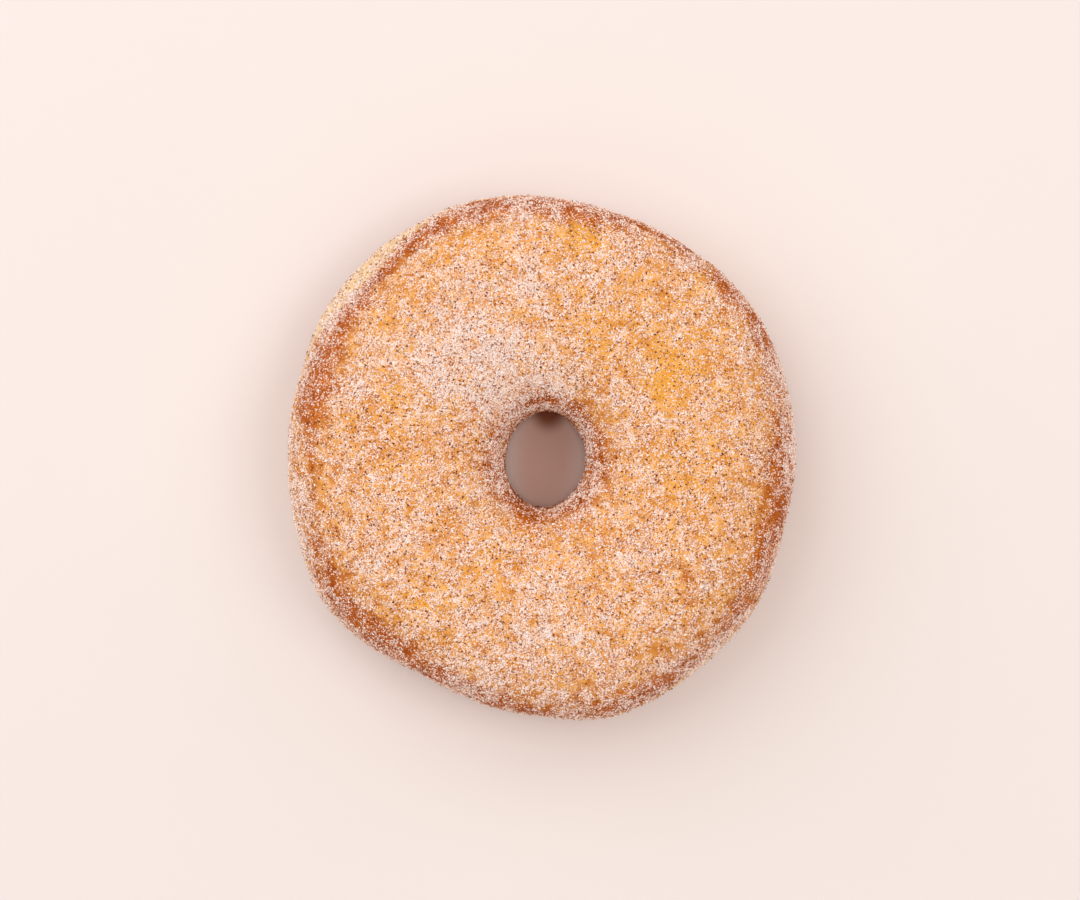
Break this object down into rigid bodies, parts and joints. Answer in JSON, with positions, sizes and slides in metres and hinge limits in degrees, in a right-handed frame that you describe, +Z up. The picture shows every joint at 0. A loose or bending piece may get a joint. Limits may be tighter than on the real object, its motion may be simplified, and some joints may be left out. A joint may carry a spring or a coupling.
{
  "type": "ring doughnut",
  "caption": "Sugared ring doughnut: a round, slightly uneven fried ring with a flat crown, soft shoulders, a pale waist and an oval hole through its middle.",
  "frame": {"origin": "the middle of the ring's footprint, on the surface that the doughnut rests on", "axes": "+Z up out of the crown, along the hole; +Y along the ring's longer width; +X across it"},
  "size_m": [0.0916, 0.0946, 0.0286],
  "materials": {
    "crust": "satin",
    "sugar": "gloss",
    "cinnamon": "matte"
  },
  "bodies": {
    "root": {"doughnut": "crust"}
  },
  "joints": []
}
